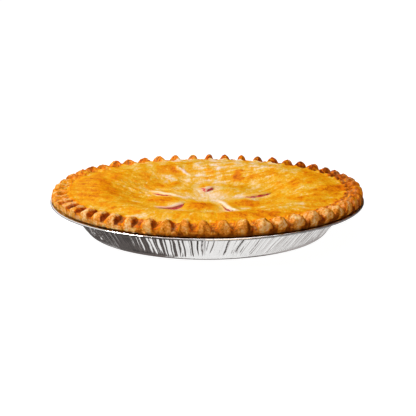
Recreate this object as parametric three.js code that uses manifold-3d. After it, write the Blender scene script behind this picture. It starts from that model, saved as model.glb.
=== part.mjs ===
// A nine-inch rhubarb and strawberry pie, uncut, in the disposable foil pan it was baked in.
// Millimetres, +Z up. The origin is the centre of the pan's underside, and -Y is the front.

import * as THREE from "three";
import { mergeVertices } from "three/addons/utils/BufferGeometryUtils.js";
import Module from "manifold-3d";

const wasm = await Module();
wasm.setup();

// ---- Foil pan

const panRadius = 116; // outside of the rolled bead
const beadThickness = 1.8;
const beadTop = 23.1;
const flangeInside = 104.4; // where the wall turns out into the flange
const flangeTop = 22.4;
const foilThickness = 0.4;
const baseRadius = 86; // the flat disc that the pan stands on
const wallFootRadius = 89.9; // just above the rounded corner
const wallFootHeight = 2.2;
const wallTopRadius = 103.2;
const wallTopHeight = 20.8;
const pleatCount = 150;
const pleatDepth = 0.9;

// ---- Crust

const gap = 0.3; // clearance between neighbouring pieces
const crimpCount = 52;
const rimRadius = 115; // widest reach of the crimped edge
const rimSeat = 110.4; // the rim lies on the flange inside this radius, and lifts off outside it
const rimUndersideHeight = 25.4; // of the lifted outer edge
const ledgeRadius = 113.6; // the case's own edge, a narrow ledge that shows under the lifted rim
const ledgeHeight = 23.6;
const caseThickness = 3.5;
const lidThickness = 4;
const lidCentreHeight = 24;
const lidCrestHeight = 31;
const lidCrestRadius = 84;
const lidDishRadius = 42; // the sunken middle is level inside this radius
const lidEdgeRadius = 99; // where the lid meets the crimps
const lidEdgeHeight = 30.1;
const frontRise = 1.1; // the pie rose a little more at the front: higher there, and lower at the back
const hollowRadius = 97.4; // the lid and the case are sealed together outside this radius
const petalHeight = 1.9;
const petalSpread = 9;
const petalReach = 28; // from the middle of the star of vents
const lipHeight = 1.3;
const lipWidth = 4.5;

// The five vents, slashed as a star: the middle of each, its heading, its open length and width, and how
// far its line bows to the left of the heading. The lip on one side stands up: 1 is the left side.
const starCentre = { x: 0, y: -10 };
const vents = [
  { x: 37, y: 1, heading: 34, length: 28, width: 2.8, bow: -2.6, raised: 1 },
  { x: 1.8, y: 17.5, heading: 70, length: 17, width: 3.6, bow: -0.6, raised: 1 },
  { x: -33.3, y: 2, heading: 138, length: 26, width: 2.2, bow: 1, raised: -1 },
  { x: -26, y: -37, heading: 226, length: 33, width: 5.4, bow: 4.5, raised: -1 },
  { x: 13.2, y: -42, heading: 286, length: 46, width: 1.8, bow: 0.3, raised: 1 },
];
const lowShare = 0.75; // of a vent's width that is on the side of its low lip
const fillingBelow = 1.2; // how far below the lid the filling stands in a vent

// One crimp, from one notch to the next: how far along it each point is, and how high it stands,
// from 0 on the floor of the notch to 1 on the crown. The far side of a crown is the steep one.
const crimpOutline = [
  { along: 0, rise: 0.03 },
  { along: 0.17, rise: 0.7 },
  { along: 0.4, rise: 1 },
  { along: 0.59, rise: 0.74 },
  { along: 0.68, rise: 0 },
];

// The crimped edge from the outer face up and over to the lid: radius, and height in a notch and on a crown.
const crimpSections = [
  { radius: rimRadius, notch: 26.9, crown: 28 },
  { radius: rimRadius - 0.6, notch: 27.6, crown: 30.8 },
  { radius: rimRadius - 4.6, notch: 28.2, crown: 32.7 },
  { radius: rimRadius - 9.2, notch: 28.6, crown: 31.8 },
  { radius: rimRadius - 13.2, notch: 30, crown: 30.6 },
];
const crimpLean = 0.22; // of a crimp's pitch, by which a crown's inner end trails its outer end

// ---- Helpers

const turn = 2 * Math.PI;

// The same number from -0.5 to 0.5 for the same index, for the unevenness of hand and press.
function uneven(index, kind) {
  const wave = Math.sin(index * 12.9898 + kind * 78.233) * 43758.5453;
  return wave - Math.floor(wave) - 0.5;
}

// Angle 0 is the front, and angles grow towards +X.
function onCircle(angle, radius, height) {
  return new THREE.Vector3(radius * Math.sin(angle), -radius * Math.cos(angle), height);
}

function plainRing(count, radius, height) {
  const points = [];
  for (let i = 0; i < count; i++) {
    points.push(onCircle((i / count) * turn, radius, height));
  }
  return points;
}

// A closed skin over rings of points, which run from the middle of the underside, out, up and back
// to the middle of the top. Rings may have unlike counts, and the first and last are single points.
function skin(rings) {
  const positions = [];
  const starts = [];
  for (const ring of rings) {
    starts.push(positions.length / 3);
    for (const point of ring) {
      positions.push(point.x, point.y, point.z);
    }
  }
  const triangles = [];
  for (let r = 0; r + 1 < rings.length; r++) {
    const lowCount = rings[r].length;
    const highCount = rings[r + 1].length;
    const low = (i) => starts[r] + (i % lowCount);
    const high = (i) => starts[r + 1] + (i % highCount);
    let i = lowCount === 1 ? 1 : 0;
    let j = highCount === 1 ? 1 : 0;
    while (i < lowCount || j < highCount) {
      const lowIsNext = j >= highCount || (i < lowCount && (i + 1) / lowCount <= (j + 1) / highCount);
      if (lowIsNext) {
        triangles.push(low(i), low(i + 1), high(j));
        i += 1;
      } else {
        triangles.push(low(i), high(j + 1), high(j));
        j += 1;
      }
    }
  }
  const geometry = new THREE.BufferGeometry();
  geometry.setAttribute("position", new THREE.Float32BufferAttribute(positions, 3));
  geometry.setIndex(triangles);
  return geometry;
}

function toSolid(geometry) {
  const bare = geometry.clone();
  bare.deleteAttribute("normal");
  bare.deleteAttribute("uv");
  const merged = mergeVertices(bare, 1e-4);
  const mesh = new wasm.Mesh({
    numProp: 3,
    vertProperties: merged.attributes.position.array,
    triVerts: Uint32Array.from(merged.index.array),
  });
  return new wasm.Manifold(mesh);
}

function toGeometry(solid) {
  const mesh = solid.getMesh();
  const geometry = new THREE.BufferGeometry();
  geometry.setAttribute("position", new THREE.Float32BufferAttribute(mesh.vertProperties, 3));
  geometry.setIndex(Array.from(mesh.triVerts));
  return geometry;
}

// ---- Foil pan: one pressed sheet with a pleated wall, a flat flange and a rolled bead

function pleatedRing(radius, height, depth) {
  const points = [];
  for (let k = 0; k < pleatCount; k++) {
    const start = k + 0.5 * uneven(k, 1);
    const ridge = k + 0.5 + 0.4 * uneven(k, 2);
    const reach = (depth / 2) * (1 + 0.7 * uneven(k, 3));
    points.push(onCircle((start / pleatCount) * turn, radius - reach, height));
    points.push(onCircle((ridge / pleatCount) * turn, radius + reach, height));
  }
  return points;
}

function makeFoilPan() {
  const baseCount = 60;
  const rimCount = 68;
  const inset = pleatDepth / 2 + foilThickness;
  const beadMiddle = panRadius - beadThickness / 2;
  const flangeOutside = panRadius - beadThickness;
  return skin([
    [new THREE.Vector3(0, 0, 0)],
    plainRing(baseCount, baseRadius, 0),
    pleatedRing(wallFootRadius, wallFootHeight, pleatDepth * 0.6),
    pleatedRing(wallTopRadius, wallTopHeight, pleatDepth),
    plainRing(rimCount, flangeInside, flangeTop - foilThickness),
    plainRing(rimCount, flangeOutside, flangeTop - foilThickness),
    plainRing(rimCount, beadMiddle, beadTop - beadThickness),
    plainRing(rimCount, panRadius, beadTop - beadThickness / 2),
    plainRing(rimCount, beadMiddle, beadTop),
    plainRing(rimCount, flangeOutside, flangeTop),
    plainRing(rimCount, flangeInside, flangeTop),
    plainRing(rimCount, wallTopRadius - inset, wallTopHeight),
    plainRing(rimCount, wallFootRadius - inset, wallFootHeight),
    plainRing(baseCount, baseRadius - foilThickness, foilThickness),
    [new THREE.Vector3(0, 0, foilThickness)],
  ]);
}

// ---- Crust: a case that lines the pan, and a lid sealed to it by the crimps

function smooth(t) {
  const s = Math.min(1, Math.max(0, t));
  return s * s * (3 - 2 * s);
}

// A petal is the soft mound that the dough between two vents bakes into.
function petals() {
  const bearings = vents.map((vent) => Math.atan2(vent.y - starCentre.y, vent.x - starCentre.x));
  return bearings.map((bearing, i) => {
    const next = bearings[(i + 1) % bearings.length];
    const between = bearing + ((next - bearing + turn) % turn) / 2;
    return {
      x: starCentre.x + petalReach * Math.cos(between),
      y: starCentre.y + petalReach * Math.sin(between),
    };
  });
}

const petalMounds = petals();

function lidHeight(x, y) {
  const radius = Math.hypot(x, y);
  const risen = smooth((radius - lidDishRadius) / (lidCrestRadius - lidDishRadius));
  const fallen = smooth((radius - lidCrestRadius) / (lidEdgeRadius - lidCrestRadius));
  let height = lidCentreHeight + (lidCrestHeight - lidCentreHeight) * risen;
  height -= (frontRise * y) / rimRadius;
  height += (lidEdgeHeight - lidCrestHeight) * fallen;
  for (const petal of petalMounds) {
    const away = Math.hypot(x - petal.x, y - petal.y) / petalSpread;
    height += petalHeight * Math.exp(-away * away / 2);
  }
  return height;
}

function lidRing(count, radius, below) {
  const points = plainRing(count, radius, 0);
  for (const point of points) {
    point.z = lidHeight(point.x, point.y) - below;
  }
  return points;
}

function hill(distance, width) {
  return Math.exp(-((distance / width) ** 2) / 2);
}

// How tall a crimp is, and how wide, by its bearing from the front: tallest at the front, flatter at
// the left, and wider at the front right.
function crimpSize(k) {
  const bearing = k < crimpCount / 2 ? (k / crimpCount) * turn : (k / crimpCount - 1) * turn;
  const flatter = 0.22 * hill(bearing + 0.75, 0.3) + 0.5 * hill(bearing + 1.6, 0.38);
  return {
    height: 1 + 0.2 * uneven(k, 4) + 0.11 * Math.cos(bearing) - flatter,
    width: 1 / (1 - 0.2 * hill(bearing - 0.9, 0.4)),
  };
}

function crimpRing(section, lean) {
  const points = [];
  for (let k = 0; k < crimpCount; k++) {
    const middle = k + 0.12 * uneven(k, 5) - lean;
    const size = crimpSize(k);
    for (const { along, rise } of crimpOutline) {
      const angle = ((middle + (along - crimpOutline[2].along) * size.width) / crimpCount) * turn;
      const tilt = frontRise * Math.cos(angle);
      const height = section.notch + (section.crown - section.notch) * rise * size.height + tilt;
      points.push(onCircle(angle, section.radius, height));
    }
  }
  return points;
}

// The case and the lid as one body, with no hollow and no vents yet.
function makePie() {
  const caseFloor = foilThickness + gap;
  const caseInset = pleatDepth / 2 + foilThickness + gap + 0.1;
  const rings = [
    [new THREE.Vector3(0, 0, caseFloor)],
    plainRing(crimpCount, baseRadius - 1.4, caseFloor),
    plainRing(crimpCount, wallFootRadius - caseInset, wallFootHeight + gap),
    plainRing(crimpCount, wallTopRadius - caseInset, wallTopHeight + gap),
    plainRing(crimpCount, flangeInside - 0.4, flangeTop + gap),
    plainRing(crimpCount, rimSeat, flangeTop + gap + 0.1),
    plainRing(crimpCount, ledgeRadius - 0.5, ledgeHeight - 0.3),
    plainRing(crimpCount, ledgeRadius, ledgeHeight + 0.3),
    plainRing(crimpCount, ledgeRadius + 0.2, rimUndersideHeight),
  ];
  crimpSections.forEach((section, i) => {
    rings.push(crimpRing(section, (crimpLean * i) / crimpSections.length));
  });
  for (let radius = 95; radius > 5; radius -= 9) {
    rings.push(lidRing(Math.round(6 + 0.7 * radius), radius, 0));
  }
  rings.push([new THREE.Vector3(0, 0, lidHeight(0, 0))]);
  return skin(rings);
}

// The space between the case and the lid, drawn in by a clearance on every side for what fills it.
function makeInside(clearance) {
  const inset = pleatDepth / 2 + foilThickness + gap + caseThickness + clearance;
  const floor = foilThickness + gap + caseThickness + clearance;
  const below = lidThickness + clearance;
  const rings = [
    [new THREE.Vector3(0, 0, floor)],
    plainRing(36, baseRadius - 2.4 - clearance, floor),
    plainRing(36, wallFootRadius - inset, floor + 1.8),
    plainRing(36, wallTopRadius - inset, wallTopHeight),
    plainRing(36, hollowRadius - 0.6 - clearance, wallTopHeight + 3.4),
  ];
  for (let radius = hollowRadius - 7; radius > 5; radius -= 10.5) {
    rings.push(lidRing(Math.round(6 + 0.55 * radius), radius, below));
  }
  rings.push([new THREE.Vector3(0, 0, lidHeight(0, 0) - below)]);
  return skin(rings);
}

function placeOnLid(geometry, vent, height) {
  geometry.rotateZ(THREE.MathUtils.degToRad(vent.heading));
  geometry.translate(vent.x, vent.y, lidHeight(vent.x, vent.y) + height);
  return geometry;
}

// The raised lip round a vent: a low almond mound whose lower half is sunk in the lid.
function makeLip(vent) {
  const mound = new THREE.SphereGeometry(1, 12, 5);
  mound.rotateX(Math.PI / 2);
  mound.scale(vent.length / 2 + lipWidth, vent.width / 2 + lipWidth, lipHeight + 1.4);
  mound.translate(0, vent.bow * 0.7 + vent.raised, 0);
  return placeOnLid(mound, vent, -1.4);
}

// A prism with the almond shape of a vent, drawn in by a clearance, between two heights from the lid.
function makeAlmond(vent, clearance, bottom, top) {
  const half = vent.length / 2;
  const left = vent.width * (vent.raised > 0 ? 1 - lowShare : lowShare);
  const right = vent.width - left;
  const tip = clearance / (0.375 * vent.width);
  const end = { x: half * (1 - tip / 2), y: 0.75 * tip * (vent.bow + (left - right) / 2) };
  const outline = new THREE.Shape();
  outline.moveTo(-end.x, end.y);
  for (const t of [-0.5, 0, 0.5]) {
    outline.lineTo(half * t, (vent.bow - right) * (1 - t * t) + clearance);
  }
  outline.lineTo(end.x, end.y);
  for (const t of [0.5, 0, -0.5]) {
    outline.lineTo(half * t, (vent.bow + left) * (1 - t * t) - clearance);
  }
  const prism = new THREE.ExtrudeGeometry(outline, { depth: top - bottom, bevelEnabled: false });
  return placeOnLid(prism, vent, bottom);
}

function makeCrust() {
  let crust = toSolid(makePie());
  for (const vent of vents) {
    crust = crust.add(toSolid(makeLip(vent)));
  }
  crust = crust.subtract(toSolid(makeInside(0)));
  for (const vent of vents) {
    crust = crust.subtract(toSolid(makeAlmond(vent, 0, -lidThickness - 4, 6)));
  }
  return toGeometry(crust);
}

// ---- Filling: it fills the crust, and has welled up in the vents

function makeFilling() {
  let filling = toSolid(makeInside(gap));
  for (const vent of vents) {
    filling = filling.add(toSolid(makeAlmond(vent, gap, -lidThickness - 2, -fillingBelow)));
  }
  return toGeometry(filling);
}

// ---- The finished pie

const foil = new THREE.MeshStandardMaterial({ color: 0xd9d9d9, roughness: 0.3, metalness: 1 });
const pastry = new THREE.MeshStandardMaterial({ color: 0xeda41c, roughness: 0.45, metalness: 0 });
const fruit = new THREE.MeshStandardMaterial({ color: 0xa8272c, roughness: 0.2, metalness: 0 });

function piece(name, geometry, material) {
  geometry.computeVertexNormals();
  const mesh = new THREE.Mesh(geometry, material);
  mesh.name = name;
  return mesh;
}

const pie = new THREE.Group();
pie.add(piece("foil_pan", makeFoilPan(), foil));
pie.add(piece("pastry_crust", makeCrust(), pastry));
pie.add(piece("fruit_filling", makeFilling(), fruit));

export default pie;
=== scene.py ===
import math
import bpy
import numpy as np
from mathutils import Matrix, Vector


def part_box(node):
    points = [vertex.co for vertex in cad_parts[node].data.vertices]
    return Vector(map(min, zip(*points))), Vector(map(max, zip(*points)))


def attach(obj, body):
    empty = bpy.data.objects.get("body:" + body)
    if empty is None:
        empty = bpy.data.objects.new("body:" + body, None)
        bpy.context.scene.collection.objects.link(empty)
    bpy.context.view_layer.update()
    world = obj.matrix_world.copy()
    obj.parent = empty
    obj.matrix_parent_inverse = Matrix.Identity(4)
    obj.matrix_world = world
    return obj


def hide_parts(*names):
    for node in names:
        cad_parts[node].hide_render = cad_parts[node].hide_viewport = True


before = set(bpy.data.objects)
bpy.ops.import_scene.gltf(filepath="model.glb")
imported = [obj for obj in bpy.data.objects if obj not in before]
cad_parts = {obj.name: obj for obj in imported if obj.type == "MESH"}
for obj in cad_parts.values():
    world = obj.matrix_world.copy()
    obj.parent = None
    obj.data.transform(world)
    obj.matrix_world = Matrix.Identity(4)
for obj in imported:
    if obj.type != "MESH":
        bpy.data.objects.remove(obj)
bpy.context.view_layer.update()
print("frame loaded:", len(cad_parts), "nodes")

# Shapes are worked out in millimetres, with the front of the pie at -Y and angle 0, and angles growing
# towards +X. Meshes are written in metres.
mm = 0.001
turn = 2 * math.pi
scene = bpy.context.scene


# Numbers and fields

def uneven(index, kind):
    # the same number from -0.5 to 0.5 for the same index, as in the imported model
    wave = np.sin(index * 12.9898 + kind * 78.233) * 43758.5453
    return wave - np.floor(wave) - 0.5


def smooth(t):
    # a step from 0 to 1 as t goes from 0 to 1, level at both ends
    s = np.clip(t, 0, 1)
    return s * s * (3 - 2 * s)


def mix(a, b, t):
    return a + (b - a) * t


def hill(distance, width):
    # 1 where the distance is 0, and falling away on both sides
    return np.exp(-(distance / width) ** 2 / 2)


def table(fields, rows):
    # each row as a dictionary of its fields
    return [dict(zip(fields, row)) for row in rows]


def fromFront(angle):
    # the same angle, from minus half a turn to half a turn
    return (angle + math.pi) % turn - math.pi


def ripples(x, y, wavelength, seed, stretch=1.0, heading=0.0):
    # a smooth uneven field of about unit height: seeded plane waves, drawn out along the heading
    rng = np.random.default_rng(seed)
    along = (x * math.cos(heading) + y * math.sin(heading)) / stretch
    across = y * math.cos(heading) - x * math.sin(heading)
    total = 0
    count = 18
    for _ in range(count):
        bearing = rng.uniform(0, turn)
        waveNumber = turn / (wavelength * rng.uniform(0.7, 1.4))
        phase = rng.uniform(0, turn)
        distance = along * math.cos(bearing) + across * math.sin(bearing)
        total = total + np.sin(waveNumber * distance + phase)
    return total / math.sqrt(count / 2)


def curveThrough(xs, ys, t):
    # a smooth curve through a few values, with no overshoot (monotone cubic)
    xs, ys = np.asarray(xs, float), np.asarray(ys, float)
    steps = np.diff(ys) / np.diff(xs)
    slopes = np.concatenate([[steps[0]], (steps[:-1] + steps[1:]) / 2, [steps[-1]]])
    for i, step in enumerate(steps):
        limit = 3 * abs(step)
        for j in (i, i + 1):
            slope = math.copysign(min(abs(slopes[j]), limit), slopes[j])
            slopes[j] = 0 if slopes[j] * step < 0 else slope
    t = np.clip(t, xs[0], xs[-1])
    i = np.clip(np.searchsorted(xs, t, side="right") - 1, 0, len(xs) - 2)
    width = xs[i + 1] - xs[i]
    s = (t - xs[i]) / width
    return ((2 * s**3 - 3 * s**2 + 1) * ys[i] + (s**3 - 2 * s**2 + s) * width * slopes[i]
            + (3 * s**2 - 2 * s**3) * ys[i + 1] + (s**3 - s**2) * width * slopes[i + 1])


# Meshes

def onCircle(angle, radius, height):
    angle, radius, height = np.broadcast_arrays(angle, radius, height)
    return np.stack([radius * np.sin(angle), -radius * np.cos(angle), height], axis=1).astype(float)


def angles(count):
    return np.arange(count) / count * turn


def evenRing(count, radius, height):
    return onCircle(angles(count), radius, height)


def stitch(lowStart, lowCount, highStart, highCount):
    # faces between two rings: quads where the counts match, else triangles
    if lowCount == highCount:
        i = np.arange(lowCount)
        j = (i + 1) % lowCount
        return np.stack([lowStart + i, lowStart + j, highStart + j, highStart + i], axis=1).tolist()
    faces = []
    i = 1 if lowCount == 1 else 0
    j = 1 if highCount == 1 else 0
    while i < lowCount or j < highCount:
        if j >= highCount or (i < lowCount and (i + 1) * highCount <= (j + 1) * lowCount):
            third = lowStart + (i + 1) % lowCount
            faces.append([lowStart + i % lowCount, third, highStart + j % highCount])
            i += 1
        else:
            third = highStart + (j + 1) % highCount
            faces.append([lowStart + i % lowCount, third, highStart + j % highCount])
            j += 1
    return faces


def skin(rings):
    # a skin over rings, from the first to the last; it is closed when both of those are single points
    points = np.concatenate(rings)
    faces = []
    start = 0
    for low, high in zip(rings, rings[1:]):
        faces += stitch(start, len(low), start + len(low), len(high))
        start += len(low)
    return points, faces


def makeMesh(name, points, faces):
    mesh = bpy.data.meshes.new(name)
    mesh.from_pydata((np.asarray(points) * mm).tolist(), [], faces)
    mesh.validate()
    piece = bpy.data.objects.new(name, mesh)
    scene.collection.objects.link(piece)
    return piece


def readPoints(piece):
    co = np.zeros(len(piece.data.vertices) * 3)
    piece.data.vertices.foreach_get("co", co)
    return co.reshape(-1, 3) / mm


def addMask(piece, name, values):
    layer = piece.data.attributes.new(name, "FLOAT", "POINT")
    layer.data.foreach_set("value", np.ascontiguousarray(values, dtype=np.float32))


def addVectors(piece, name, vectors):
    layer = piece.data.attributes.new(name, "FLOAT_VECTOR", "POINT")
    layer.data.foreach_set("vector", np.ascontiguousarray(vectors, dtype=np.float32).ravel())


def cut(piece, cutters):
    # takes the cutters' volumes out of the piece, then removes the cutters
    for cutter in cutters:
        tool = piece.modifiers.new("cut", "BOOLEAN")
        tool.operation = "DIFFERENCE"
        tool.solver = "MANIFOLD"
        tool.object = cutter
    whole = bpy.data.meshes.new_from_object(piece.evaluated_get(bpy.context.evaluated_depsgraph_get()))
    piece.modifiers.clear()
    old = piece.data
    piece.data = whole
    whole.name = piece.name
    bpy.data.meshes.remove(old)
    for cutter in cutters:
        bpy.data.objects.remove(cutter)


def finishPiece(piece, node, material, sharpAngle):
    piece.data.shade_smooth()
    piece.data.set_sharp_from_angle(angle=math.radians(sharpAngle))
    piece.data.materials.clear()
    piece.data.materials.append(material)
    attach(piece, "root")
    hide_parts(node)


# Shaders

class Wire:
    # an output of a shader node: arithmetic on wires adds Math nodes
    def __init__(self, graph, socket):
        self.graph = graph
        self.socket = socket

    def calc(self, operation, first, second):
        return self.graph.add("ShaderNodeMath", {"operation": operation}, [first, second])

    def __add__(self, other):
        return self.calc("ADD", self, other)

    def __sub__(self, other):
        return self.calc("SUBTRACT", self, other)

    def __rsub__(self, other):
        return self.calc("SUBTRACT", other, self)

    def __mul__(self, other):
        return self.calc("MULTIPLY", self, other)

    __radd__ = __add__
    __rmul__ = __mul__

    def clamped(self):
        return self.graph.add("ShaderNodeClamp", {}, [self])


class Graph:
    # a material and its nodes; fixed values are set on the shader's own sockets
    def __init__(self, name, fixed):
        self.material = bpy.data.materials.new(name)
        self.material.use_nodes = True
        self.tree = self.material.node_tree
        self.shader = self.tree.nodes["Principled BSDF"]
        for socket, value in fixed.items():
            self.shader.inputs[socket].default_value = value
        self.place = self.add("ShaderNodeTexCoord", {}, {}, "Object")

    def add(self, kind, settings, inputs, output=0):
        node = self.tree.nodes.new(kind)
        for setting, value in settings.items():
            if setting == "stops":
                self.setStops(node.color_ramp, value)
            else:
                setattr(node, setting, value)
        pairs = inputs.items() if isinstance(inputs, dict) else enumerate(inputs)
        for socket, value in pairs:
            if isinstance(value, Wire):
                self.tree.links.new(value.socket, node.inputs[socket])
            else:
                node.inputs[socket].default_value = value
        return Wire(self, node.outputs[output])

    def setStops(self, ramp, stops):
        while len(ramp.elements) < len(stops):
            ramp.elements.new(0.5)
        for element, (position, colour) in zip(ramp.elements, stops):
            element.position = position
            element.color = (*colour, 1)

    def mask(self, name, output="Fac"):
        return self.add("ShaderNodeAttribute", {"attribute_name": name}, {}, output)

    def noise(self, scale, detail, roughness, place=None):
        return self.add("ShaderNodeTexNoise", {}, {
            "Vector": place or self.place,
            "Scale": scale,
            "Detail": detail,
            "Roughness": roughness,
        }, "Fac")

    def stretched(self, x, y, z):
        return self.add("ShaderNodeMapping", {}, {"Vector": self.place, "Scale": (x, y, z)})

    def ramp(self, factor, stops):
        return self.add("ShaderNodeValToRGB", {"stops": stops}, [factor])

    def mixColours(self, factor, first, second):
        # the colour sockets of a Mix node are numbers 6 and 7, and its colour output is number 2
        return self.add("ShaderNodeMix", {"data_type": "RGBA"}, {0: factor, 6: first, 7: second}, 2)

    def bump(self, height, distance, strength):
        inputs = {"Height": height, "Distance": distance, "Strength": strength}
        return self.add("ShaderNodeBump", {}, inputs)

    def feed(self, socket, wire):
        self.tree.links.new(wire.socket, self.shader.inputs[socket])


# Vents

starCentre = (0, -10)  # the vents are cut in a star round it
lowShare = 0.75  # of a vent's width that is on the side of its low lip
leastWidth = 0.12  # of the width that a skewed vent keeps at its narrow end

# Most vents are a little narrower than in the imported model. Each has the place of its middle, its
# heading, its open length and width, and how far its line bows to the left of the heading. Skew is how
# much wider it is towards its outer end. Raised says which lip stands up: 1 is the left one. Welled is
# how high the filling stands along that lip. Paler is how much paler the lip is than the rest of the
# lid, and soaked is how much juice it holds. Lip is half the width of the pale band, and beyond is how
# far the band runs on past the vent's ends.
vents = [
    {"x": 37, "y": 1, "heading": 34, "length": 28, "width": 2.8, "bow": -2.6, "skew": 0,
     "raised": 1, "welled": 0.3, "paler": 0.14, "lip": 1.4, "beyond": 6, "soaked": 0},
    {"x": 1.8, "y": 17.5, "heading": 70, "length": 17, "width": 2.5, "bow": -0.6, "skew": 0,
     "raised": 1, "welled": 0.9, "paler": 0.45, "lip": 1.7, "beyond": 6, "soaked": 0.2},
    {"x": -33.3, "y": 2, "heading": 138, "length": 26, "width": 1.7, "bow": 1, "skew": 0,
     "raised": -1, "welled": 0.3, "paler": 0.42, "lip": 1.2, "beyond": 17, "soaked": 0},
    {"x": -27, "y": -38, "heading": 226, "length": 30, "width": 4, "bow": 4.3, "skew": 0,
     "raised": -1, "welled": 0, "paler": 0.35, "lip": 1.7, "beyond": 8, "soaked": 0.3},
    {"x": 13.2, "y": -42, "heading": 286, "length": 46, "width": 1.4, "bow": 0.3, "skew": 2.2,
     "raised": 1, "welled": 0.3, "paler": 0.46, "lip": 1.1, "beyond": 6, "soaked": 0},
]
ventBearings = [math.atan2(v["y"] - starCentre[1], v["x"] - starCentre[0]) for v in vents]


def ventHeading(vent):
    heading = math.radians(vent["heading"])
    return math.cos(heading), math.sin(heading)


def ventPlace(vent, x, y):
    # along and across a vent, from its middle; the line of the vent is bowed
    c, s = ventHeading(vent)
    dx, dy = x - vent["x"], y - vent["y"]
    along = dx * c + dy * s
    reach = np.clip(np.abs(along) * 2 / vent["length"], 0, 1.4)
    return along, dy * c - dx * s - vent["bow"] * (1 - reach**2)


def ventPoint(vent, t, across):
    # the place at t from -1 to 1 along a vent's line and a distance across it
    c, s = ventHeading(vent)
    along = t * vent["length"] / 2
    across = across + vent["bow"] * (1 - t**2)
    return vent["x"] + along * c - across * s, vent["y"] + along * s + across * c


def ventEdge(vent, t, raisedSide):
    # how far the opening reaches to one side of the vent's line, at t from -1 to 1 along it
    share = np.where(raisedSide, 1 - lowShare, lowShare)
    return vent["width"] * share * (1 - t**2) * np.maximum(1 + vent["skew"] * t, leastWidth)


# Foil pan

panBox = [np.array(corner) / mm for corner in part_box("foil_pan")]
pan = {
    "radius": panBox[1][0],
    "beadTop": panBox[1][2],
    "beadThickness": 1.8,
    "beadWander": 0.04,
    "flangeTop": 22.4,
    "flangeInside": 104.4,
    "foil": 0.2,
    "baseRadius": 86,
    "cornerRadius": 4.2,
    "cornerBend": math.radians(54),
    "footRadius": 89.9,
    "footHeight": 2.2,
    "wallTopRadius": 103.2,
    "wallTopHeight": 20.8,
    "pleats": 150,
    "pleatDepth": 0.6,
    "slant": 2.2,
    "columns": 1800,
    "plainColumns": 300,
    "wallRows": 24,
}


def pleatField(angle, up):
    # how far the wall stands out at a height from 0 at its foot to 1 at its top
    slant = pan["slant"] * hill(angle - 0.6, 0.45) + pan["slant"] * hill(angle - 3.6, 0.8)
    bearing = fromFront(angle)
    slant -= 0.8 * hill(bearing + 0.93, 0.2)
    wobble = 0.05 * np.sin(up * 6 + angle * 23) + 0.03 * np.sin(up * 11 - angle * 41)
    place = angle / turn * pan["pleats"] - slant * (up - 0.5) + wobble
    total = 0
    for lap in (-1, 0, 1):
        k = np.floor(place) + lap
        index = k % pan["pleats"]
        ridge = k + 0.5 + 0.8 * uneven(index, 2) + 0.4 * uneven(index, 8) * (up - 0.5)
        width = 0.36 + 0.34 * uneven(index, 6)
        away = np.clip(np.abs(place - ridge) / width, 0, 1)
        size = 0.8 + 1.1 * uneven(index, 3)
        foot = smooth((up + 0.25 * uneven(index, 7)) / 0.35)
        total = np.maximum(total, size * foot * (1 - away**2)**1.5)
    # small ripples, crumpling near the top, slow waves, and a stretch that is smoother
    fine = 0.10 + 0.14 * smooth((bearing - 0.2) / 0.4) + 0.34 * hill(bearing + 0.97, 0.13)
    fine *= np.sin(place * turn * 2.3 + 2 * np.sin(angle * 17))
    crease = np.abs(np.sin(place * math.pi + 3 * np.sin(angle * 13))) * smooth((up - 0.8) / 0.15) * 0.5
    broad = 0.5 * np.sin(angle * 19 + 2 * np.sin(angle * 7)) * smooth(up / 0.5)
    calm = 1 - 0.8 * hill(bearing + 0.67, 0.14)
    return pan["pleatDepth"] * calm * ((total - 0.3 + fine + crease) * smooth(up / 0.12) + 0.25 * broad)


def makeFoilPan():
    allRound = angles(pan["columns"])
    foil = pan["foil"]
    plain = pan["plainColumns"]
    rings = [evenRing(1, 0, 0), evenRing(plain, pan["baseRadius"], 0)]

    def addRing(radius, height):
        rings.append(onCircle(allRound, radius, height))

    # the rounded corner, then the wall, whose pleats stand out square to its slope
    corner = pan["cornerRadius"]
    for t in np.linspace(0.25, 0.75, 3):
        bend = t * pan["cornerBend"]
        addRing(pan["baseRadius"] + corner * math.sin(bend), corner * (1 - math.cos(bend)))
    for t in np.linspace(0, 1, pan["wallRows"]):
        radius = mix(pan["footRadius"], pan["wallTopRadius"], t)
        height = mix(pan["footHeight"], pan["wallTopHeight"], t)
        out = pleatField(allRound, t)
        addRing(radius + out * 0.8, height - out * 0.6)
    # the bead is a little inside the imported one, because it wanders
    half = pan["beadThickness"] / 2 - 0.06
    middle = pan["radius"] - half - 0.1
    centre = pan["beadTop"] - half - 0.08
    # the pleats die out across the flange: radius, drop, and how much of them is left
    under = pan["flangeTop"] - foil
    crease = 0.5 * pleatField(allRound, 1.0)
    flange = ((pan["flangeInside"], 0.2, 0.2), (107, 0, 0.1), (middle - half - 0.6, 0, 0.05))
    for radius, drop, left in flange:
        addRing(radius, under - drop + left * crease)
    # the bead rolls from under the flange, out and over, and nearly back to it
    wander = pan["beadWander"] * ripples(200 * np.sin(allRound), 200 * np.cos(allRound), 14, 3)
    for t in np.linspace(-0.42, 0.45, 12):
        bend = t * turn
        addRing(middle + half * math.cos(bend) + wander * 0.8, centre + half * math.sin(bend) + wander)
    addRing(middle - half - 0.4, pan["flangeTop"])
    # the inner side, under the pastry
    inset = pan["pleatDepth"] / 2 + foil + 0.15
    rings += [
        evenRing(plain, pan["flangeInside"], pan["flangeTop"]),
        evenRing(plain, pan["wallTopRadius"] - inset, pan["wallTopHeight"]),
        evenRing(plain, pan["footRadius"] - inset, pan["footHeight"] + foil),
        evenRing(plain, pan["baseRadius"] - foil, foil),
        evenRing(1, 0, foil),
    ]
    return makeMesh("foilPan", *skin(rings))


def paintSeamShade(piece):
    # painted shade along the seam where the bead rolls back under the flange
    x, y, z = readPoints(piece).T
    radius = np.hypot(x, y)
    addMask(piece, "seam", hill(z - pan["beadTop"] + pan["beadThickness"], 0.5) * (radius > 112))


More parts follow.
